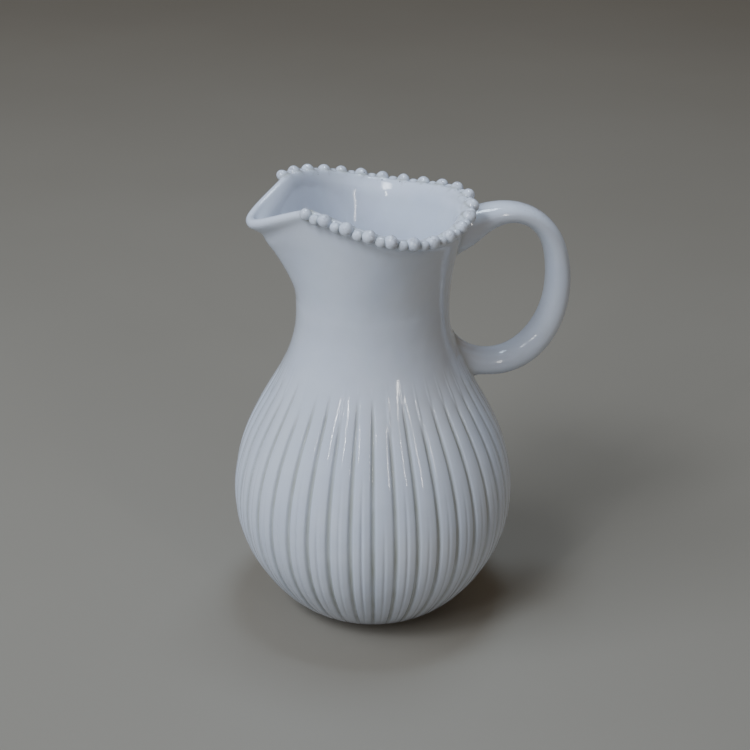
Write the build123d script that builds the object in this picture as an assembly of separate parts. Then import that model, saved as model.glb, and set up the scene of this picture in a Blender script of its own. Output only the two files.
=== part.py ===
from build123d import *
from math import cos, exp, hypot, log, radians, sin
import os

# Ribbed ceramic pitcher, in millimetres.  +Z up, handle along +X, spout along -X,
# origin at the centre of the foot, on the plane it stands on.

# ---- body profile --------------------------------------------------------------------------
FOOT_R = 36.5            # foot ring, outside
FOOT_WIDTH = 4.5         # foot ring, across its standing face
FOOT_H = 1.5             # how far the foot ring lifts the belly
BELLY_R, BELLY_Z = 73.0, 62.0
NECK_R, NECK_Z = 38.7, 174.0
# radius and height of the outside wall, from the foot ring to the neck
BODY_STATIONS = [
    (FOOT_R, FOOT_H), (42.0, 3.5), (48.0, 8.0), (59.7, 22.0), (69.6, 42.0), (BELLY_R, BELLY_Z),
    (71.0, 82.0), (64.4, 102.0), (53.7, 122.0), (43.4, 142.0), (39.0, 160.0), (NECK_R, NECK_Z),
]
FOOT_SLOPE = (1.0, 0.2)  # the wall's direction where it leaves the foot ring
UPRIGHT = (0.0, 1.0)
END_PULL = (0.3, 0.3)    # how strongly a wall curve holds those directions at its two ends
WALL = 5.0
FLOOR_T = 6.0            # thickness of the vessel's floor
FLOOR_SLOPE = (1.0, 0.25)
WALL_SAMPLES = 36        # points used to draw a line beside the wall
HOLLOW_EVERY = 3         # the inside wall is drawn through every third of them

# ---- ribs: even grooves cut into the belly ---------------------------------------------------
RIBS = 40
GROOVE_W = 2.4
GROOVE_DEPTH = 1.8
GROOVE_CLEAR = 0.4       # how far outside the wall a groove's floor begins and ends
GROOVE_LOW, GROOVE_HIGH = 5.0, 135.0
GROOVE_FADE = 14.0       # length over which a groove runs out, at each end
GROOVE_FAR_R = 93.0      # the cutting blade reaches out to here

# ---- mouth ----------------------------------------------------------------------------------
MOUTH_R = 46.9           # mean outside radius at the rim
MOUTH_SHIFT = 0.8        # how far the round part of the mouth sits towards the handle
SIDE_BULGE = 5.5         # extra radius at the two sides
SIDE_POWER = 6           # higher keeps the bulge closer to the sides
SPOUT_REACH = 16.6       # extra radius at the tip of the spout
SPOUT_SPREAD = 18.5      # degrees
SPOUT_TIP_ROUND = 4.0    # degrees
SPOUT_POWER = 1.45       # 2 would be a bell curve, 1 a sharp peak
ROUND_FLARE, SPOUT_FLARE = 1.45, 1.5     # 1 would be a straight cone
LIP_WALL = 4.5
LIP_ROUND = 1.8
NECK_LAP = 4.0           # the mouth reaches down over the top of the turned wall
NECK_STEP = 0.15         # and stands this proud of it, inside and outside
MOUTH_LEVELS = (178.0, 184.0, 190.0, 197.0, 205.0, 213.0, 221.0)
MOUTH_TOP = 236.0        # the mouth is drawn this high and then trimmed to the rim line
OUTLINE_ANGLES = (30, 60, 90, 115, 135, 150, 162, 171)    # closer together round the spout
OUTLINE_STEP = 1.5       # degrees to either side, to find the outline's direction

# ---- rim line: a cubic over x / RIM_UNIT, then a straight fall along the spout -------------------
RIM_UNIT = 50.0
RIM_MID_Z = 220.4        # rim height over the origin
RIM_SLOPE, RIM_BEND, RIM_TWIST = -10.6, 7.15, 5.93
SHOULDER_X, SHOULDER_Z = -38.8, 230.6    # where the rim turns down into the spout
SHOULDER_SOFT = 1.0
TIP_X, TIP_Z = -62.0, 219.2
RIM_XS = (-96, -84, -74, -64, -54, -46, -40, -34, -28, -20, -8, 6, 20, 34, 47, 60, 72)
TRIM_TOP, TRIM_HALF_Y = 250.0, 80.0
RIM_LOWEST = 210.0       # every edge that lies wholly above this belongs to the rim

# ---- rim beads ------------------------------------------------------------------------------
BEAD_R = 3.3
BEAD_OUT = 1.0           # bead centres stand this far outside the wall
BEAD_DROP = 0.7          # and this far below the lip's top
# degrees from the handle, the same on both sides
BEAD_ANGLES = (15.6, 30.0, 44.4, 58.1, 71.0, 82.8, 94.2, 105.1, 117.4, 130.7, 143.2)

# ---- handle ---------------------------------------------------------------------------------
# x, z, half thickness, half width along the centre line; both ends lie inside the wall
HANDLE_STATIONS = [
    (28.0, 201.0, 14.5, 10.4), (38.0, 202.5, 12.6, 10.0), (47.0, 204.5, 10.2, 9.4),
    (57.0, 208.6, 7.2, 8.8), (70.0, 210.8, 5.2, 8.5), (83.5, 206.2, 5.0, 8.5),
    (93.0, 195.2, 5.4, 8.5), (97.5, 179.0, 6.1, 8.5), (97.0, 161.0, 6.6, 8.5),
    (91.0, 145.2, 7.1, 8.5), (78.8, 133.2, 7.3, 8.5), (65.0, 129.6, 6.9, 8.8),
    (54.0, 131.0, 7.2, 9.3), (44.0, 133.8, 9.8, 10.3), (34.0, 138.5, 12.8, 11.0),
]


def smooth(t):
    """0 to 1 with level ends."""
    t = min(max(t, 0.0), 1.0)
    return t * t * (3.0 - 2.0 * t)


def rim_height(x):
    """Height of the lip's top edge over a point at x, rounded over at the spout's shoulder."""
    t = x / RIM_UNIT
    rim = RIM_MID_Z + RIM_SLOPE * t + RIM_BEND * t ** 2 + RIM_TWIST * t ** 3
    fall = (SHOULDER_Z - TIP_Z) / (SHOULDER_X - TIP_X)
    below_rim = (SHOULDER_Z - rim) / SHOULDER_SOFT
    below_spout = -fall * (x - SHOULDER_X) / SHOULDER_SOFT
    return SHOULDER_Z - SHOULDER_SOFT * log(exp(below_rim) + exp(below_spout))


def rim_radii(angle):
    """Outside radius of the round mouth, and what the spout adds to it, both at the rim."""
    a = radians(angle)
    off_spout = hypot((angle % 360.0) - 180.0, SPOUT_TIP_ROUND) - SPOUT_TIP_ROUND
    spout = SPOUT_REACH * exp(-((off_spout / SPOUT_SPREAD) ** SPOUT_POWER))
    return MOUTH_R + MOUTH_SHIFT * cos(a) + SIDE_BULGE * sin(a) ** SIDE_POWER, spout


def rim_z(angle):
    """Height of the lip's top edge at an angle."""
    return rim_height(sum(rim_radii(angle)) * cos(radians(angle)))


def mouth_radius(angle, z):
    """Outside radius over the neck, angle in degrees from the handle."""
    rise = max(z - NECK_Z, 0.0) / (rim_z(angle) - NECK_Z)
    round_part, spout = rim_radii(angle)
    return NECK_R + (round_part - NECK_R) * rise ** ROUND_FLARE + spout * rise ** SPOUT_FLARE


def outline_xy(angle, z):
    """Where the mouth's outline at height z passes that angle."""
    r = mouth_radius(angle, z)
    return r * cos(radians(angle)), r * sin(radians(angle))


def mouth_point(angle, z, inset):
    """A point of the outline at height z, moved square to the outline by inset."""
    x, y = outline_xy(angle, z)
    x_before, y_before = outline_xy(angle - OUTLINE_STEP, z)
    x_after, y_after = outline_xy(angle + OUTLINE_STEP, z)
    run_x, run_y = x_after - x_before, y_after - y_before
    length = hypot(run_x, run_y)
    return Vector(x - inset * run_y / length, y + inset * run_x / length, z)


def rim_point(angle, inset, drop):
    """A point moved in from the outside of the wall and down from the rim's top."""
    return mouth_point(angle, rim_z(angle), inset) - Vector(0, 0, drop)


def mouth_ring(z, inset):
    """Closed outline of the mouth at height z."""
    other_half = [360 - a for a in reversed(OUTLINE_ANGLES)]
    angles = [0, *OUTLINE_ANGLES, 180, *other_half]
    return Wire([Spline([mouth_point(a, z, inset) for a in angles], periodic=True)])


def mouth_solid(low_inset, top_inset):
    """Solid inside the neck and mouth; the inset changes evenly with height."""
    low = NECK_Z - NECK_LAP
    rings = []
    for z in (low, *MOUTH_LEVELS, MOUTH_TOP):
        share = (z - low) / (MOUTH_TOP - low)
        rings.append(mouth_ring(z, low_inset + (top_inset - low_inset) * share))
    return Solid.make_loft(rings)


def turned(wall, *corners):
    """The solid turned by a wall curve in the X-Z plane and the corners that close it."""
    chain = Polyline(wall @ 0, *corners, wall @ 1)
    return revolve(Plane.XZ * make_face([wall, chain]), Axis.Z)


def beside_wall(i, distance):
    """The i-th sample of the wall curve, moved square to the wall; outwards is positive."""
    p = wall_curve @ (i / WALL_SAMPLES)
    d = wall_curve % (i / WALL_SAMPLES)
    return p.X + distance * d.Y, p.Y - distance * d.X


# ---- outside of the belly, with its grooves -----------------------------------------------------
wall_curve = Spline(BODY_STATIONS, tangents=[FOOT_SLOPE, UPRIGHT], tangent_scalars=END_PULL)
belly = turned(wall_curve, (FOOT_R, 0.0), (0.0, 0.0), (0.0, NECK_Z))

groove_points = []
for i in range(1, WALL_SAMPLES):
    z = beside_wall(i, 0.0)[1]
    if GROOVE_LOW <= z <= GROOVE_HIGH:
        from_end = min(z - GROOVE_LOW, GROOVE_HIGH - z)
        depth = (GROOVE_DEPTH + GROOVE_CLEAR) * smooth(from_end / GROOVE_FADE)
        groove_points.append(beside_wall(i, GROOVE_CLEAR - depth))
groove_floor = Spline(groove_points)
blade_corners = [(GROOVE_FAR_R, GROOVE_HIGH), (GROOVE_FAR_R, GROOVE_LOW)]
blade_side = Polyline(groove_floor @ 1, *blade_corners, groove_floor @ 0)
blade_face = Plane.XZ.offset(-GROOVE_W / 2) * make_face([groove_floor, blade_side])
blade = extrude(blade_face, amount=GROOVE_W)
belly -= [Rot(0, 0, (i + 0.5) * 360 / RIBS) * blade for i in range(RIBS)]

# ---- inside of the belly, and the hollow under the foot -----------------------------------------
floor_z = FOOT_H + FLOOR_T
floor_r = FOOT_R - FOOT_WIDTH
inside_points = [beside_wall(i, -WALL) for i in range(HOLLOW_EVERY, WALL_SAMPLES, HOLLOW_EVERY)]
inside_ends = [(floor_r, floor_z), (NECK_R - WALL, NECK_Z)]
inside_stations = [inside_ends[0], *inside_points, inside_ends[1]]
inside_curve = Spline(inside_stations, tangents=[FLOOR_SLOPE, UPRIGHT], tangent_scalars=END_PULL)
hollow = turned(inside_curve, (0.0, floor_z), (0.0, NECK_Z))
foot_hollow = Cylinder(floor_r, FOOT_H, align=(Align.CENTER, Align.CENTER, Align.MIN))
lower = belly - [hollow, foot_hollow]

# ---- neck and mouth, trimmed along the rim line, with a rounded lip ------------------------------
rim_line = Spline([(x, rim_height(x)) for x in RIM_XS])
trim_corners = [(RIM_XS[-1], TRIM_TOP), (RIM_XS[0], TRIM_TOP)]
trim_side = Polyline(rim_line @ 1, *trim_corners, rim_line @ 0)
trim = extrude(Plane.XZ.offset(-TRIM_HALF_Y) * make_face([rim_line, trim_side]), amount=2 * TRIM_HALF_Y)
mouth_outside = mouth_solid(-NECK_STEP, 0.0)
mouth = mouth_outside - mouth_solid(WALL + NECK_STEP, LIP_WALL) - trim
rim_edges = [e for e in mouth.edges() if e.bounding_box().min.Z > RIM_LOWEST]
mouth = fillet(rim_edges, LIP_ROUND)

# ---- rim beads: one over the handle, the rest in pairs, each set into the lip --------------------
bead_angles = [*[-a for a in reversed(BEAD_ANGLES)], 0.0, *BEAD_ANGLES]
beads = [Pos(rim_point(a, -BEAD_OUT, BEAD_DROP)) * Sphere(BEAD_R) for a in bead_angles]
body = lower + mouth - beads

# ---- handle: an oval bar that spreads where it joins the body ------------------------------------
spine = Plane.XZ * Spline([(x, z) for x, z, thick, wide in HANDLE_STATIONS])
sections = []
for x, z, thick, wide in HANDLE_STATIONS:
    along = spine % spine.param_at_point(Vector(x, 0, z))
    across = Plane((x, 0, z), x_dir=(0, 1, 0), z_dir=along)
    sections.append((across * Ellipse(wide, thick)).wire())
handle = Solid.make_loft(sections) - [belly, mouth_outside, *beads]

# ---- one file per piece --------------------------------------------------------------------------
nodes = {"body": body, "handle": handle}
for i, bead in enumerate(beads, start=1):
    nodes[f"rim_bead_{i:02d}"] = bead
os.makedirs("parts", exist_ok=True)
for name, shape in nodes.items():
    export_step(shape.solids().sort_by(SortBy.VOLUME)[-1], f"parts/{name}.step")
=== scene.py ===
import math

import bpy
import numpy as np
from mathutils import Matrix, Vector


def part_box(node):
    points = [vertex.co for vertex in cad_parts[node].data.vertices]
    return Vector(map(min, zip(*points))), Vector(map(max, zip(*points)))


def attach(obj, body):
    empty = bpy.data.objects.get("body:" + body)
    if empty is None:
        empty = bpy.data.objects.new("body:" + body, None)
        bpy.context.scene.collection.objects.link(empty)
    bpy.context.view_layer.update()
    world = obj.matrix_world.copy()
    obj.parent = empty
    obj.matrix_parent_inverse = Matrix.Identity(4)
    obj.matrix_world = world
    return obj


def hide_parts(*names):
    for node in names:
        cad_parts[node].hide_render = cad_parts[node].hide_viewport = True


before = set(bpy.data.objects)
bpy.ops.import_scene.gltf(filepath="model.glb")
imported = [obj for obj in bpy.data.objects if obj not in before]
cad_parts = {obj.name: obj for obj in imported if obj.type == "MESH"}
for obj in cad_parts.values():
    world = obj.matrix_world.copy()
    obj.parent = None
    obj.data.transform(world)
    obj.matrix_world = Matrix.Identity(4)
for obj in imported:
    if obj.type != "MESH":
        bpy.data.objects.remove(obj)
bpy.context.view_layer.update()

MM = 0.001

# ---- shape of the vessel, in millimetres, as the CAD part has it ------------------------------
FOOT_R, FOOT_WIDTH, FOOT_H = 36.5, 4.5, 1.5
BELLY_R, BELLY_Z = 73.0, 62.0
NECK_R, NECK_Z = 38.7, 174.0
BODY_STATIONS = [
    (FOOT_R, FOOT_H), (42.0, 3.5), (48.0, 8.0), (59.7, 22.0), (69.6, 42.0), (BELLY_R, BELLY_Z),
    (71.0, 82.0), (64.4, 102.0), (53.7, 122.0), (43.4, 142.0), (39.0, 160.0), (NECK_R, NECK_Z),
]
# directions, out and up, in which the outside and the hollow begin and end
FOOT_SLOPE, UPRIGHT, FLOOR_SLOPE = (1.0, 0.2), (0.0, 1.0), (1.0, 0.25)
WALL, FLOOR_T = 5.0, 6.0
MOUTH_R, MOUTH_SHIFT, SIDE_BULGE, SIDE_POWER = 46.9, 0.8, 5.5, 6
SPOUT_REACH, SPOUT_SPREAD, SPOUT_TIP_ROUND, SPOUT_POWER = 16.6, 18.5, 4.0, 1.45
ROUND_FLARE, SPOUT_FLARE = 1.45, 1.5
RIM_MID_Z, RIM_SLOPES, RIM_UNIT = 220.4, (-10.6, 7.15, 5.93), 50.0
SHOULDER_X, SHOULDER_Z, SHOULDER_SOFT = -38.8, 230.6, 1.0
TIP_X, TIP_Z = -62.0, 219.2

# x, z, half thickness and half width along the handle; both ends lie inside the body's wall
HANDLE_STATIONS = [
    (28.0, 201.0, 14.5, 10.4), (38.0, 202.5, 12.6, 10.0), (47.0, 204.5, 10.2, 9.4), (57.0, 208.6, 7.2, 8.8),
    (70.0, 210.8, 5.2, 8.5), (83.5, 206.2, 5.0, 8.5), (93.0, 195.2, 5.4, 8.5),
    (97.5, 179.0, 6.1, 8.5), (97.0, 161.0, 6.6, 8.5), (91.0, 145.2, 7.1, 8.5),
    (78.8, 133.2, 7.3, 8.5), (65.0, 129.6, 6.9, 8.8), (54.0, 131.0, 7.2, 9.3),
    (44.0, 133.8, 9.8, 10.3), (34.0, 138.5, 12.8, 11.0),
]
BEADS = sorted(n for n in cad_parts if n.startswith("rim_bead_"))

# ---- what the fired and glazed surface adds to it ---------------------------------------------
FOOT_EDGE = 0.7                             # rounding of the foot ring's two edges
LIP_R, LIP_IN = 2.4, 2.5                    # the rolled lip, and how far in its middle lies
LIP_ROWS = 7.0                              # the rolled lip starts this far below the rim line
LIP_FROM, LIP_TO = 24, 88                   # the mouth's rows that the beads can reach
SHOULDER_ROW, THROAT_ROW = 60, 44           # the belly's and the mouth's rows round the handle's ends

RIBS = 40
RIB_PITCH = 360.0 / RIBS
GROOVE_DEPTH = 1.85
GROOVE_HALF, GROOVE_EDGE = 0.20, 1.20       # degrees: flat bottom, then the rounded side
RIB_CROWN = 0.85                            # how far a rib's shoulders fall off
CREASE_DEPTH, CREASE_W = 0.8, 0.5           # the faint line down the middle of each rib
# the heights between which each comes in, and then goes out again
GROOVE_BOTTOM, GROOVE_TOP = (2.5, 15.0), (138.0, 121.0)
CREASE_BOTTOM, CREASE_TOP = (6.0, 20.0), (108.0, 68.0)
CROWN_TOP = (148.0, 114.0)
# grooves made by hand differ in where they start and how deep they go
START_RANGE, STRENGTH_RANGE, CREASE_RANGE = (-9.0, 3.0), (0.82, 1.06), (0.45, 1.25)

BEAD_BLEND, HANDLE_BLEND = 2.8, 5.0         # glaze fills the joint within this distance
BEAD_POOL_SHADE, HANDLE_POOL_SHADE = 1.1, 2.2           # and gathers darker, with shade painted into the crevice, within this one
# how strongly the handle's joints get gathered glaze and painted shade
HANDLE_POOL_SHADE_SHARE = 0.8
END_BEAD = 0.84                             # the last bead each side is only half formed
BEAD_SPREAD, BEAD_SIZES = 0.03, (-1.0, 0.4)    # beads differ in size, more of them smaller
BEAD_WAVES, BEAD_UNEVEN = 3, 0.022          # low waves over a bead's skin, as a share of its size
BEAD_PHASES = (0.0, 6.0)                    # radians
# the low swellings between the beads: radius, where they count, softness, place
LINK_R, LINK_NEAR, LINK_SOFT, LINK_MOVE = 2.6, 7.0, 0.7, np.array([0.0, 0.0, -1.3])
LINK_LIMIT = 6.5                            # only this near to the lip's middle line
LIP_SEARCH = 12.0                           # a bead can't touch the lip further from its centre
WORN_REACH = 2.5                            # thin glaze round each bead
HANDLE_SQUARE = 0.92                        # 1 is an ellipse, less is a little squarer
MARK, MARK_SIZE = np.array([84.0, 0.0, 212.0]), np.array([9.0, 7.0, 6.0])    # worn spot on the handle
HANDLE_STEP = 3.0                           # more than the spacing of the handle's middle points
FAR = 1e3                                   # further than anything on the pitcher


# ---- curves and surfaces ----------------------------------------------------------------------
def ramp(value, none, full):
    """0 at none and 1 at full, with level ends."""
    t = np.clip((value - none) / (full - none), 0.0, 1.0)
    return t * t * (3.0 - 2.0 * t)


def spline_rows(rows, knot, at, start=None, end=None):
    """A curve with even curvature through every column of a grid of points, at the wanted knot
    values. start and end are the directions at its two ends, where they are given."""
    n = len(knot)
    step = np.diff(knot)
    flat = rows.reshape(n, -1)
    a, b = np.zeros((n, n)), np.zeros_like(flat)
    for i in range(1, n - 1):
        h0, h1 = step[i - 1], step[i]
        a[i, i - 1:i + 2] = h1, 2.0 * (h0 + h1), h0
        b[i] = 3.0 * (h1 * (flat[i] - flat[i - 1]) / h0 + h0 * (flat[i + 1] - flat[i]) / h1)
    a[0, :2], b[0] = (2.0, 1.0), 3.0 * (flat[1] - flat[0]) / step[0]
    a[-1, -2:], b[-1] = (1.0, 2.0), 3.0 * (flat[-1] - flat[-2]) / step[-1]
    for row, tangent in ((0, start), (-1, end)):
        if tangent is not None:
            a[row] = 0.0
            a[row, row] = 1.0
            b[row] = np.asarray(tangent) / np.linalg.norm(tangent)
    slope = np.linalg.solve(a, b)
    i = np.clip(np.searchsorted(knot, at, side="right") - 1, 0, n - 2)
    h = step[i][:, None]
    t = (at - knot[i])[:, None] / h
    out = ((2 * t ** 3 - 3 * t ** 2 + 1) * flat[i] + (t ** 3 - 2 * t ** 2 + t) * h * slope[i]
           + (3 * t ** 2 - 2 * t ** 3) * flat[i + 1] + (t ** 3 - t ** 2) * h * slope[i + 1])
    return out.reshape(len(at), *rows.shape[1:])


def spline(points, share, start=None, end=None):
    """The same curve through a list of points; share runs from 0 to 1 along it."""
    p = np.asarray(points, float)
    knot = np.concatenate([[0.0], np.cumsum(np.linalg.norm(np.diff(p, axis=0), axis=1))])
    return spline_rows(p, knot, np.asarray(share) * knot[-1], start, end)


WALL_CURVE = spline(BODY_STATIONS, np.linspace(0.0, 1.0, 1200), FOOT_SLOPE, UPRIGHT)


def wall_radius(z):
    """Radius of the turned outline, before the mouth flares."""
    return np.interp(z, WALL_CURVE[:, 1], WALL_CURVE[:, 0])


def rim_height(x):
    """Height of the lip's top edge over x, rounded over at the spout's shoulder."""
    t = x / RIM_UNIT
    first, second, third = RIM_SLOPES
    rim = RIM_MID_Z + first * t + second * t ** 2 + third * t ** 3 - SHOULDER_Z
    spout = (SHOULDER_Z - TIP_Z) / (SHOULDER_X - TIP_X) * (x - SHOULDER_X)
    return SHOULDER_Z - SHOULDER_SOFT * np.log(np.exp(-rim / SHOULDER_SOFT)
                                               + np.exp(-spout / SHOULDER_SOFT))


def rim_radii(angle):
    """Outside radius of the round mouth, and what the spout adds to it, both at the rim."""
    a = np.radians(angle)
    off_spout = np.hypot(np.mod(angle, 360.0) - 180.0, SPOUT_TIP_ROUND) - SPOUT_TIP_ROUND
    spout = SPOUT_REACH * np.exp(-((off_spout / SPOUT_SPREAD) ** SPOUT_POWER))
    return MOUTH_R + MOUTH_SHIFT * np.cos(a) + SIDE_BULGE * np.sin(a) ** SIDE_POWER, spout


def rim_z(angle):
    """Height of the lip's top edge over the angle."""
    round_part, spout = rim_radii(angle)
    return rim_height((round_part + spout) * np.cos(np.radians(angle)))


def outside_radius(angle, z):
    """Radius of the smooth outside, without the ribs."""
    rise = np.maximum(z - NECK_Z, 0.0) / (rim_z(angle) - NECK_Z)
    round_part, spout = rim_radii(angle)
    flare = (round_part - NECK_R) * rise ** ROUND_FLARE + spout * rise ** SPOUT_FLARE
    return wall_radius(z) + flare


def outside(angle, z):
    """Points of the smooth outside."""
    r = outside_radius(angle, z)
    a = np.radians(angle)
    return np.stack([r * np.cos(a), r * np.sin(a), z + 0.0 * r], axis=-1)


def unit(v):
    """The same directions at length 1."""
    return v / np.linalg.norm(v, axis=-1, keepdims=True)


def outside_frame(angle, z):
    """Points of the smooth outside, with the outward normal there."""
    nudge = 0.1
    round_way = outside(angle + nudge, z) - outside(angle - nudge, z)
    up = outside(angle, z + nudge) - outside(angle, z - nudge)
    return outside(angle, z), unit(np.cross(round_way, up))


def rib_depth(angle, z):
    """How far the ribbed surface lies inside the smooth one, and how deep in a groove it is."""
    rng = np.random.default_rng(5)
    start = rng.uniform(*START_RANGE, RIBS)
    strength = rng.uniform(*STRENGTH_RANGE, RIBS)
    crease_size = rng.uniform(*CREASE_RANGE, RIBS)
    which = np.floor(np.mod(angle, 360.0) / RIB_PITCH).astype(int) % RIBS
    nearest = np.round(np.mod(angle, 360.0) / RIB_PITCH).astype(int) % RIBS
    half_rib = RIB_PITCH / 2
    off_groove = np.abs(np.mod(angle, RIB_PITCH) - half_rib)
    groove = 1.0 - ramp(off_groove, GROOVE_HALF, GROOVE_HALF + GROOVE_EDGE)
    low = ramp(z, *GROOVE_BOTTOM)
    high = ramp(z - start[which], *GROOVE_TOP)
    cut = GROOVE_DEPTH * strength[which] * groove * low * high
    crown = RIB_CROWN * (1.0 - off_groove / half_rib) ** 2 * low * ramp(z, *CROWN_TOP)
    crease = CREASE_DEPTH * crease_size[nearest] * np.exp(-(((half_rib - off_groove) / CREASE_W) ** 2))
    faint = ramp(z, *CREASE_BOTTOM) * ramp(z - 2.0 * start[nearest], *CREASE_TOP)
    depth = (cut + crown * (1.0 - groove) + crease * faint) * wall_radius(z) / BELLY_R
    return depth, groove * low * high


# ---- meshes -----------------------------------------------------------------------------------
def grid_mesh(name, grid, pool_and_shade, worn):
    """A tube of quads from rows of rings, in millimetres, with a point at each end.

    The first share marks where glaze gathers darker and where shade is painted in, in the grooves and at the
    joints; the second where the glaze runs thin over an edge and shows specks."""
    rows, ring = grid.shape[:2]
    points = grid.reshape(-1, 3)
    index = np.arange(rows * ring).reshape(rows, ring)
    a, b = index[:-1], index[1:]
    faces = np.stack([a, np.roll(a, -1, 1), np.roll(b, -1, 1), b], axis=-1).reshape(-1, 4).tolist()
    low, high = len(points), len(points) + 1
    points = np.concatenate([points, [grid[0].mean(0)], [grid[-1].mean(0)]])
    faces += [(low, int(j1), int(j0)) for j0, j1 in zip(index[0], np.roll(index[0], -1))]
    faces += [(high, int(j0), int(j1)) for j0, j1 in zip(index[-1], np.roll(index[-1], -1))]
    mesh = bpy.data.meshes.new(name)
    mesh.from_pydata((points * MM).tolist(), [], faces)
    mesh.polygons.foreach_set("use_smooth", [True] * len(mesh.polygons))
    for label, share in (("pool_and_shade", pool_and_shade), ("worn", worn)):
        values = np.concatenate([share.reshape(-1), [0.0, 0.0]]).astype(np.float32)
        mesh.attributes.new(label, "FLOAT", "POINT").data.foreach_set("value", values)
    mesh.validate()
    piece = bpy.data.objects.new(name, mesh)
    bpy.context.scene.collection.objects.link(piece)
    return piece


def soften(points, normals, gap, reach):
    """Lifts a surface towards a neighbour closer than reach, so that the joint is filled in."""
    lift = np.clip(reach - np.abs(gap), 0.0, None) ** 2 / (4.0 * reach)
    return points + normals * lift[..., None]


def joint_falloff(gap, width):
    """Falls off away from where two pieces meet: the share of gathered glaze and painted shade at a joint,
    and of thin glaze round a bead.
    """
    return np.exp(-(np.clip(gap, 0.0, None) / width) ** 2)


def bead_gap(points, centres, radii):
    """Distance from points to the nearest bead's skin."""
    gap = np.full(points.shape[:-1], FAR)
    for c, r in zip(centres, radii):
        gap = np.minimum(gap, np.linalg.norm(points - c, axis=-1) - r)
    return gap


def link_reach(start, way, centres):
    """How far from the lip's middle line the low swellings between the beads reach."""
    far = np.zeros(way.shape[:-1])
    for a, b in zip(centres[:-1], centres[1:]):
        middle = (a + b) / 2 + LINK_MOVE
        off = middle - start
        along = (off * way).sum(axis=-1)
        away = (off ** 2).sum(axis=-1)
        inside = LINK_R ** 2 - away + along ** 2
        hit = (inside > 0.0) & (away < LINK_NEAR ** 2)
        far = np.maximum(far, np.where(hit, along + np.sqrt(np.maximum(inside, 0.0)), 0.0))
    return far


def handle_gap(points):
    """Rough distance from points to the handle's skin."""
    spine = spline(HANDLE_STATIONS, np.linspace(0.0, 1.0, 200))
    ahead = np.concatenate([spine[1:], spine[-1:]]) - np.concatenate([spine[:1], spine[:-1]])
    gap = np.full(points.shape[:-1], FAR)
    for (x, z, thick, wide), step in zip(spine, ahead):
        tx, tz = step[:2] / np.hypot(step[0], step[1])
        dx, dz = points[..., 0] - x, points[..., 2] - z
        along = dx * tx + dz * tz
        across = dz * tx - dx * tz
        ratio = np.sqrt((across / thick) ** 2 + (points[..., 1] / wide) ** 2)
        skin = np.hypot((ratio - 1.0) * min(thick, wide), along)
        within = (ratio < 1.0) & (np.abs(along) < HANDLE_STEP)
        gap = np.where(within, 0.0, np.where(ratio < 1.0, gap, np.minimum(gap, skin)))
    return gap


def lip_core(angle):
    """Middle line of the rolled lip, with the directions outwards and upwards from it."""
    def edge(a):
        return outside(a, rim_z(a))

    nudge = 0.2
    ahead = unit(edge(angle + nudge) - edge(angle - nudge))
    out = unit(np.stack([ahead[..., 1], -ahead[..., 0], 0.0 * ahead[..., 0]], axis=-1))
    up = np.cross(ahead, out)
    up = up * np.sign(up[..., 2:3])
    return edge(angle) - LIP_IN * out - LIP_R * up, out, up


def rib_columns():
    """Angles round the belly, closer together on the sides of the grooves."""
    offs = np.array([0.0, 0.4, 0.62, 0.84, 1.06, 1.3, 1.75, 2.4, 3.1, 3.6, 4.05])
    within = np.concatenate([-offs[:0:-1], offs, [RIB_PITCH / 2]])
    return np.concatenate([RIB_PITCH * (i + 0.5) + within for i in range(RIBS)])


def turned(outline, angle):
    """Rings from an outline of radius and height."""
    r, z = np.asarray(outline).T[:, :, None]
    a = np.radians(angle)
    return np.stack([r * np.cos(a), r * np.sin(a), z + 0.0 * angle], axis=-1)


def foot_outline():
    """From the middle of the underside out, down round the foot ring and up to the belly."""
    inner = FOOT_R - FOOT_WIDTH
    line = [(r, FOOT_H) for r in (1.0, 8.0, 16.0, 24.0, 31.0, inner - 1.2)]
    line += [(inner - 0.5, FOOT_H - 0.15), (inner, FOOT_H - 0.7), (inner + 0.1, FOOT_EDGE)]
    for t in np.radians([30, 60, 90]):
        line.append((inner + 0.1 + FOOT_EDGE * (1 - math.cos(t)), FOOT_EDGE * (1 - math.sin(t))))
    for t in np.radians([0, 30, 60, 90]):
        line.append((FOOT_R - FOOT_EDGE * (1 - math.sin(t)), FOOT_EDGE * (1 - math.cos(t))))
    return [*line, (FOOT_R, FOOT_H - 0.1)]


def cavity_outline():
    """From the neck down the inside wall and in to the middle of the floor."""
    ahead = unit(np.gradient(WALL_CURVE, axis=0))
    inner = WALL_CURVE + WALL * np.stack([-ahead[:, 1], ahead[:, 0]], axis=1)
    floor_z = FOOT_H + FLOOR_T
    knots = [(FOOT_R - FOOT_WIDTH, floor_z), *inner[100:-60:100], (NECK_R - WALL, NECK_Z)]
    line = spline(knots, np.linspace(0.0, 1.0, 90), FLOOR_SLOPE, UPRIGHT)[::-1][1:]
    dish = [(28.0, floor_z - 0.4), (18.0, floor_z - 0.6), (8.0, floor_z - 0.7), (1.0, floor_z - 0.7)]
    return [*line, *dish]


def belly_rows(angle):
    """The ribbed belly, with its smooth normals and how deep in a groove each point is."""
    z = np.concatenate([np.linspace(low, high, rows)[:-1] for low, high, rows in (
        (FOOT_H, 20.0, 16), (20.0, 112.0, 62), (112.0, 140.0, 26), (140.0, NECK_Z, 24))])
    z = z[:, None] + 0.0 * angle
    smooth_belly, normal = outside_frame(angle, z)
    depth, groove = rib_depth(angle, z)
    return smooth_belly - normal * depth[..., None], normal, groove


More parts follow.
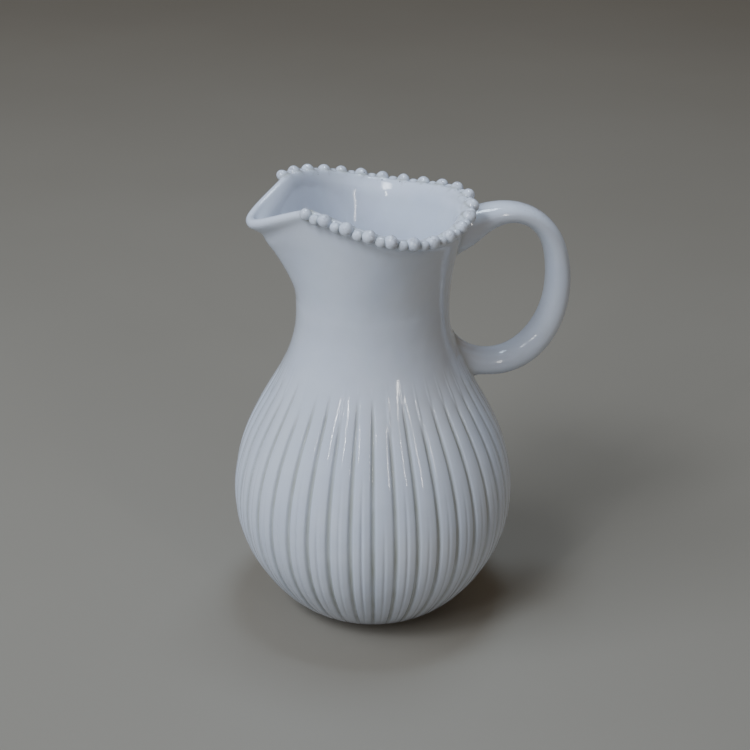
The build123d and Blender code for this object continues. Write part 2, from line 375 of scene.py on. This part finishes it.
def mouth_rows(angle, core, lip_out, lip_up):
    """Up the outside of the neck, over the rolled lip and down the inside."""
    top = rim_z(angle) - LIP_ROWS
    share = np.array([0.0, 0.12, 0.25, 0.38, 0.5, 0.62, 0.74, 0.86, 1.0])[:, None]
    wall, normal = outside_frame(angle, NECK_Z + share * (top - NECK_Z))
    turn = np.radians([-35.0, 0.0, 30.0, 60.0, 90.0, 120.0, 152.0])[:, None, None]
    roll = core + LIP_R * (np.cos(turn) * lip_out + np.sin(turn) * lip_up)
    stations = np.concatenate([wall, roll, (wall - WALL * normal)[::-1]])
    gap = np.linalg.norm(np.diff(stations, axis=0), axis=-1).mean(axis=1)
    knot = np.concatenate([[0.0], np.cumsum(gap)])
    rise, over = knot[len(wall) - 2], knot[len(wall) + len(roll)]
    at = np.concatenate([np.linspace(0.0, rise, 30)[:-1], np.linspace(rise, over, 52)[:-1],
                         np.linspace(over, knot[-1], 34)])
    return spline_rows(stations, knot, at)


def linked(rows, core, centres):
    """Rows of the lip, raised by the low swellings between the beads."""
    reach = rows - core
    away = np.linalg.norm(reach, axis=-1)
    way = reach / away[..., None]
    links = link_reach(core, way, centres)
    both = (away + links + np.sqrt((away - links) ** 2 + LINK_SOFT ** 2)) / 2
    away = np.where(away < LINK_LIMIT, both, away)
    return core + way * away[..., None]


def body_piece(centres, radii):
    """The whole vessel as one skin: under the foot, up the outside, over the lip and down inside."""
    angle = rib_columns()[None, :]
    foot = turned(foot_outline(), angle)
    belly, belly_n, groove = belly_rows(angle)
    core, lip_out, lip_up = lip_core(angle)
    mouth = mouth_rows(angle, core, lip_out, lip_up)
    mouth_n = unit(np.cross(np.roll(mouth, -1, 1) - np.roll(mouth, 1, 1), np.gradient(mouth, axis=0)))
    cavity = turned(cavity_outline(), angle)

    shape = np.concatenate([foot, belly, mouth, cavity])
    normals = np.concatenate([0 * foot, belly_n, mouth_n, 0 * cavity])
    pool_and_shade, worn = np.zeros(shape.shape[:-1]), np.zeros(shape.shape[:-1])
    first = len(foot) + len(belly)
    # the grooves are painted darker: glaze gathered in them, and painted shade
    pool_and_shade[len(foot):first] = groove

    rim = slice(first + LIP_FROM, first + LIP_TO)
    shape[rim] = linked(shape[rim], core, centres)
    gap = bead_gap(shape[rim], centres, radii)
    shape[rim] = soften(shape[rim], normals[rim], gap, BEAD_BLEND)
    # gathered glaze and painted shade in the crevice round each bead
    pool_and_shade[rim] = np.maximum(pool_and_shade[rim], joint_falloff(gap, BEAD_POOL_SHADE))

    near = slice(len(foot) + SHOULDER_ROW, first + THROAT_ROW)
    gap = handle_gap(shape[near])
    shape[near] = soften(shape[near], normals[near], gap, HANDLE_BLEND)
    # gathered glaze and painted shade in the crevice round the handle's ends
    pool_and_shade[near] = np.maximum(pool_and_shade[near], HANDLE_POOL_SHADE_SHARE * joint_falloff(gap, HANDLE_POOL_SHADE))
    worn[rim] = joint_falloff(bead_gap(shape[rim], centres, radii), WORN_REACH)
    return grid_mesh("body_glazed", shape, pool_and_shade, worn), core[0]


def handle_piece():
    """A pulled bar, spreading where it joins the mouth and the shoulder."""
    around, along = 64, 190
    spine = spline(HANDLE_STATIONS, np.linspace(0.0, 1.0, along))
    ahead = unit(np.gradient(spine[:, :2], axis=0))
    side = np.stack([-ahead[:, 1], ahead[:, 0]], axis=1)
    turn = np.linspace(0.0, 2.0 * math.pi, around, endpoint=False)
    c, s = (np.sign(v) * np.abs(v) ** HANDLE_SQUARE for v in (np.cos(turn), np.sin(turn)))
    thick, wide = spine[:, 2:3], spine[:, 3:4]
    x = spine[:, 0:1] + side[:, 0:1] * thick * s
    z = spine[:, 1:2] + side[:, 1:2] * thick * s
    grid = np.stack([x, -wide * c, z], axis=-1)
    angle = np.degrees(np.arctan2(grid[..., 1], grid[..., 0]))
    gap = np.hypot(grid[..., 0], grid[..., 1]) - outside_radius(angle, grid[..., 2])
    out = unit(grid - grid.mean(axis=1, keepdims=True))
    grid = soften(grid, out, np.clip(gap, 0.0, None), HANDLE_BLEND)
    within = np.hypot(grid[..., 0], grid[..., 1])
    buried = np.maximum(outside_radius(angle, grid[..., 2]) - WALL / 2, within) / within
    grid[..., :2] *= buried[..., None]
    mark = np.linalg.norm((grid - MARK) / MARK_SIZE, axis=-1)
    # the handle's joints get gathered glaze and painted shade; the worn spot is thin glaze
    return grid_mesh("handle_glazed", grid, HANDLE_POOL_SHADE_SHARE * joint_falloff(gap, HANDLE_POOL_SHADE), np.exp(-mark ** 2))


def bead_piece(name, centre, radius, rim_core, seed):
    """A hand-rolled ball, a little uneven, swelling where it meets the lip."""
    rows, ring = 34, 48
    lat = np.linspace(0.0, math.pi, rows + 2)[1:-1][:, None]
    lon = np.linspace(0.0, 2.0 * math.pi, ring, endpoint=False)[None, :]
    way = np.stack([np.sin(lat) * np.cos(lon), np.sin(lat) * np.sin(lon), 0 * lon - np.cos(lat)], axis=-1)
    rng = np.random.default_rng(seed)
    size = radius * (1.0 + BEAD_SPREAD * rng.uniform(*BEAD_SIZES))
    shape = np.ones(way.shape[:-1])
    for _ in range(BEAD_WAVES):
        lean, phase = unit(rng.normal(size=3)), rng.uniform(*BEAD_PHASES)
        shape += BEAD_UNEVEN * np.cos(math.pi * (way @ lean) + phase)
    points = centre + size * way * shape[..., None]
    near = rim_core[np.linalg.norm(rim_core - centre, axis=-1) < LIP_SEARCH]
    gap = np.linalg.norm(points[:, :, None, :] - near[None, None], axis=-1).min(axis=-1) - LIP_R
    points = soften(points, way, np.clip(gap, 0.0, None), BEAD_BLEND)
    # where the bead meets the lip it gets gathered glaze and painted shade
    return grid_mesh(name, points, joint_falloff(gap, BEAD_POOL_SHADE), np.ones(gap.shape))


# ---- glaze ------------------------------------------------------------------------------------
class Nodes:
    """Short calls for building one material's node tree."""

    def __init__(self, material):
        material.use_nodes = True
        self.tree = material.node_tree
        self.tree.nodes.clear()

    def add(self, kind, links=None, **settings):
        node = self.tree.nodes.new(kind)
        for key, value in settings.items():
            setattr(node, key, value)
        for socket, source in (links or {}).items():
            if isinstance(source, bpy.types.NodeSocket):
                self.tree.links.new(source, node.inputs[socket])
            else:
                node.inputs[socket].default_value = source
        return node

    def noise(self, where, scale, detail=2.0, rough=0.5):
        node = self.add("ShaderNodeTexNoise", {"Vector": where, "Scale": scale, "Detail": detail,
                                               "Roughness": rough})
        return node.outputs["Fac"]

    def between(self, value, low, high, to_low=0.0, to_high=1.0):
        node = self.add("ShaderNodeMapRange", {"Value": value, "From Min": low, "From Max": high,
                                               "To Min": to_low, "To Max": to_high})
        return node.outputs["Result"]

    def math(self, operation, a, b=0.0):
        return self.add("ShaderNodeMath", {0: a, 1: b}, operation=operation).outputs[0]

    def mix(self, share, a, b):
        node = self.add("ShaderNodeMix", data_type="RGBA")
        for socket, value in ((0, share), (6, a), (7, b)):
            if isinstance(value, bpy.types.NodeSocket):
                self.tree.links.new(value, node.inputs[socket])
            else:
                node.inputs[socket].default_value = value
        return node.outputs[2]


# linear colours of the glaze
GLAZE_COOL, GLAZE_WARM = (0.61, 0.675, 0.81, 1.0), (0.67, 0.725, 0.835, 1.0)
# the deep colour stands for glaze gathered in the grooves and joints, and for shade painted there
GLAZE_STREAK, GLAZE_POOL_SHADE = (0.60, 0.67, 0.74, 1.0), (0.36, 0.38, 0.34, 1.0)
SPECK, THIN = (0.05, 0.055, 0.07, 1.0), (0.31, 0.30, 0.33, 1.0)


def glaze_material():
    """White glaze: cloudy; darker in the grooves and joints, where it gathers and where shade is painted in;
    thin and specked where it runs over the beads.
    """
    material = bpy.data.materials.new("white_glaze")
    n = Nodes(material)
    where = n.add("ShaderNodeTexCoord").outputs["Object"]
    pool_and_shade = n.add("ShaderNodeAttribute", attribute_name="pool_and_shade").outputs["Fac"]
    worn = n.add("ShaderNodeAttribute", attribute_name="worn").outputs["Fac"]

    clouds = n.between(n.noise(where, 26.0, 3.0), 0.35, 0.65)
    color = n.mix(clouds, GLAZE_COOL, GLAZE_WARM)
    streaks = n.between(n.noise(where, 150.0, 2.0), 0.45, 0.75)
    color = n.mix(n.math("MULTIPLY", streaks, 0.2), color, GLAZE_STREAK)
    # gathered glaze and painted shade in the grooves and crevices
    gathered_and_shaded = n.math("MULTIPLY", pool_and_shade, n.between(n.noise(where, 60.0), 0.3, 0.7, 0.5, 0.85))
    color = n.mix(gathered_and_shaded, color, GLAZE_POOL_SHADE)

    fine = n.add("ShaderNodeTexVoronoi", {"Vector": where, "Scale": 380.0, "Randomness": 1.0})
    dot = n.between(fine.outputs["Distance"], 0.10, 0.2, 1.0, 0.0)
    chance = n.add("ShaderNodeSeparateColor", {"Color": fine.outputs["Color"]}).outputs["Red"]
    limit = n.between(worn, 0.0, 1.0, 1.0, 0.85)
    speck = n.math("MULTIPLY", dot, n.math("GREATER_THAN", chance, limit))
    color = n.mix(n.math("MULTIPLY", speck, 0.8), color, SPECK)
    thin = n.math("MULTIPLY", worn, n.between(n.noise(where, 420.0, 2.0), 0.52, 0.68))
    color = n.mix(n.math("MULTIPLY", thin, 0.55), color, THIN)

    rough = n.between(n.noise(where, 90.0, 4.0), 0.3, 0.7, 0.06, 0.13)
    rough = n.math("ADD", rough, n.math("MULTIPLY", pool_and_shade, 0.05))

    pits = n.math("MULTIPLY", n.noise(where, 650.0, 2.0), 0.05)
    relief = n.math("ADD", n.noise(where, 75.0, 1.5), pits)
    bump = n.add("ShaderNodeBump", {"Strength": 0.3, "Distance": 0.0012, "Height": relief})

    shader = n.add("ShaderNodeBsdfPrincipled", {
        "Base Color": color, "Roughness": rough, "Normal": bump.outputs["Normal"], "IOR": 1.52,
        "Specular IOR Level": 0.5, "Coat Weight": 0.35, "Coat Roughness": 0.03, "Coat IOR": 1.5})
    n.add("ShaderNodeOutputMaterial", {"Surface": shader.outputs["BSDF"]})
    return material


def floor_material():
    """A plain pale floor, slightly mottled."""
    material = bpy.data.materials.new("floor")
    n = Nodes(material)
    where = n.add("ShaderNodeTexCoord").outputs["Object"]
    color = n.mix(n.noise(where, 3.0, 3.0), (0.23, 0.212, 0.182, 1.0), (0.265, 0.247, 0.216, 1.0))
    shader = n.add("ShaderNodeBsdfPrincipled", {"Base Color": color, "Roughness": 0.6})
    n.add("ShaderNodeOutputMaterial", {"Surface": shader.outputs["BSDF"]})
    return material


# ---- the pitcher ------------------------------------------------------------------------------
glaze = glaze_material()
centres, radii = [], []
for node in BEADS:
    low, high = (np.array(corner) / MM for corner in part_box(node))
    centres.append((low + high) / 2)
    radii.append((high - low).max() / 2)

body, rim_core = body_piece(centres, radii)
pieces = [(body, "body"), (handle_piece(), "handle")]
for i, node in enumerate(BEADS):
    size = radii[i] * (END_BEAD if node in (BEADS[0], BEADS[-1]) else 1.0)
    ball = bead_piece(node.replace("rim_bead", "bead_glazed"), centres[i], size, rim_core, 11 + i)
    pieces.append((ball, node))
for piece, node in pieces:
    piece.data.materials.append(glaze)
    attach(piece, "root")
    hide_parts(node)

# ---- floor, light and camera ------------------------------------------------------------------
FLOOR_HALF = 2.6
corners = [(x * FLOOR_HALF, y * FLOOR_HALF, 0) for x, y in ((-1, -1), (1, -1), (1, 1), (-1, 1))]
floor_mesh = bpy.data.meshes.new("floor")
floor_mesh.from_pydata(corners, [], [(0, 1, 2, 3)])
floor = bpy.data.objects.new("floor", floor_mesh)
bpy.context.scene.collection.objects.link(floor)
floor_mesh.materials.append(floor_material())

# warm fill light from all round; the camera itself sees a plain pale wall
world = bpy.data.worlds.new("room")
bpy.context.scene.world = world
world.use_nodes = True
room, link = world.node_tree.nodes, world.node_tree.links.new
room["Background"].inputs["Color"].default_value = (0.82, 0.66, 0.48, 1.0)
room["Background"].inputs["Strength"].default_value = 0.18
wall = room.new("ShaderNodeBackground")
wall.inputs["Color"].default_value = (0.33, 0.33, 0.33, 1.0)
either = room.new("ShaderNodeMixShader")
link(room.new("ShaderNodeLightPath").outputs["Is Camera Ray"], either.inputs[0])
link(room["Background"].outputs[0], either.inputs[1])
link(wall.outputs[0], either.inputs[2])
link(either.outputs[0], room["World Output"].inputs["Surface"])

AIM = (0, 0, 0.12)


def area_light(name, place, size, power, color, mirrored=True):
    """A lamp aimed at the pitcher; one that isn't mirrored leaves no reflection in the glaze."""
    data = bpy.data.lights.new(name, "AREA")
    data.shape, data.size, data.size_y = "RECTANGLE", size[0], size[1]
    data.energy, data.color = power, color
    light = bpy.data.objects.new(name, data)
    light.location = place
    light.visible_glossy = mirrored
    light.rotation_euler = (Vector(AIM) - Vector(place)).to_track_quat("-Z", "Y").to_euler()
    bpy.context.scene.collection.objects.link(light)


area_light("window", (-1.46, -0.54, 1.52), (1.8, 1.2), 35.0, (0.80, 0.89, 1.0), mirrored=False)
area_light("pane", (-1.08, -0.76, 1.72), (0.45, 0.40), 11.0, (0.84, 0.91, 1.0))
area_light("ceiling", (0.15, 0.20, 1.80), (0.45, 0.45), 12.0, (0.66, 0.82, 1.0))
area_light("lamp", (0.60, -1.70, 0.78), (0.06, 0.60), 2.4, (1.0, 0.97, 0.93))
area_light("far_window", (-1.21, -1.15, 1.06), (0.025, 0.42), 2.2, (0.95, 0.98, 1.0))

camera_data = bpy.data.cameras.new("camera")
camera_data.lens, camera_data.sensor_width = 77.22, 36.0
camera = bpy.data.objects.new("camera", camera_data)
camera.location = (-0.1751, -0.7259, 0.4825)
heading, down = math.radians(13.648), math.radians(25.39)
way = Vector((math.sin(heading) * math.cos(down), math.cos(heading) * math.cos(down), -math.sin(down)))
camera.rotation_euler = way.to_track_quat("-Z", "Y").to_euler()
bpy.context.scene.collection.objects.link(camera)
bpy.context.scene.camera = camera
